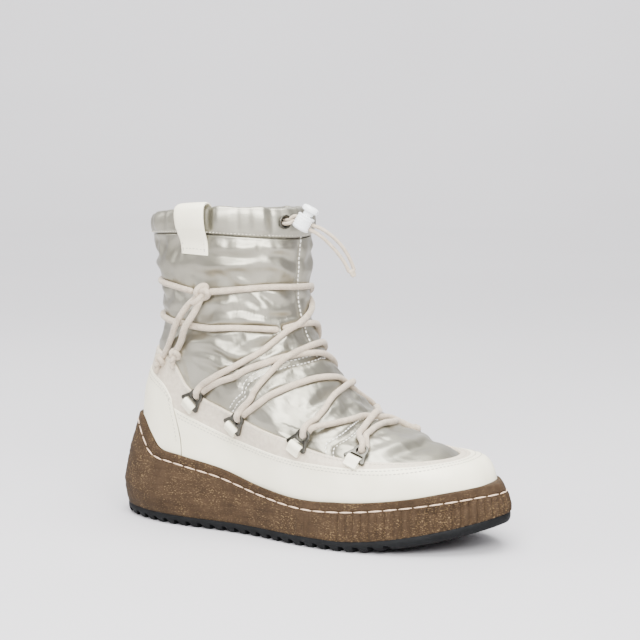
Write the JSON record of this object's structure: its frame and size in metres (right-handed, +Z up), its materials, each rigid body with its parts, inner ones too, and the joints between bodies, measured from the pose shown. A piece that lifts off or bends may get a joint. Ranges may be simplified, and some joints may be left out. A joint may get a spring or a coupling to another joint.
{
  "type": "apres-ski boot",
  "caption": "Padded mid-height winter boot with a cupped lugged sole, crossed laces in metal rings, a drawcord collar with a cord lock and a pull loop.",
  "frame": {"origin": "middle of the footprint's box, on the floor", "axes": "+X along the foot towards the toe, +Y towards the inner (medial) side of this right boot, +Z up"},
  "size_m": [0.275, 0.1044, 0.21],
  "materials": {
    "outsole_rubber": "matte black lugged rubber",
    "midsole_brown": "matte brown with fine light flecks, ribbed round the toe",
    "insole_felt": "soft pile",
    "padded_silver": "metallic champagne silver quilted nylon, glossy",
    "cream_leather": "smooth cream leather, satin",
    "beige_leather": "light beige suede-like leather, matte",
    "gunmetal": "dark gunmetal, satin",
    "lace_cord": "round braided cord, cream",
    "white_plastic": "white moulded plastic"
  },
  "bodies": {
    "boot": {"outsole": "outsole_rubber", "midsole": "midsole_brown", "insole": "insole_felt", "upper": "padded_silver", "mudguard": "cream_leather", "heel_counter": "cream_leather", "facing": "beige_leather", "collar_tunnel": "padded_silver", "collar_eyelet": "gunmetal", "pull_loop": "cream_leather", "lace_ring_outer_1": "gunmetal", "lace_ring_outer_2": "gunmetal", "lace_ring_outer_3": "gunmetal", "lace_ring_outer_4": "gunmetal", "lace_ring_inner_1": "gunmetal", "lace_ring_inner_2": "gunmetal", "lace_ring_inner_3": "gunmetal", "lace_ring_inner_4": "gunmetal", "ring_tab_outer_1": "cream_leather", "ring_tab_outer_2": "cream_leather", "ring_tab_outer_3": "cream_leather", "ring_tab_outer_4": "cream_leather", "ring_tab_inner_1": "cream_leather", "ring_tab_inner_2": "cream_leather", "ring_tab_inner_3": "cream_leather", "ring_tab_inner_4": "cream_leather", "lace_crossings": "lace_cord", "lace_turn_upper": "lace_cord", "lace_turn_lower": "lace_cord", "lace_tail_rear": "lace_cord", "lace_tail_front": "lace_cord", "lace_knot": "lace_cord", "end_knot_rear": "lace_cord", "end_knot_front": "lace_cord", "cord_lock_body": "white_plastic", "drawcord_lower": "lace_cord", "drawcord_upper": "lace_cord", "drawcord_tip": "gunmetal"},
    "lock_button": {"cord_lock_button": "white_plastic"}
  },
  "joints": [
    {"name": "lock_button_press", "type": "slide", "parent": "boot", "child": "lock_button", "axis": [-0.4209, -0.2505, -0.8718], "range_m": [0, 0.0024], "stiffness_N_per_m": 400}
  ]
}
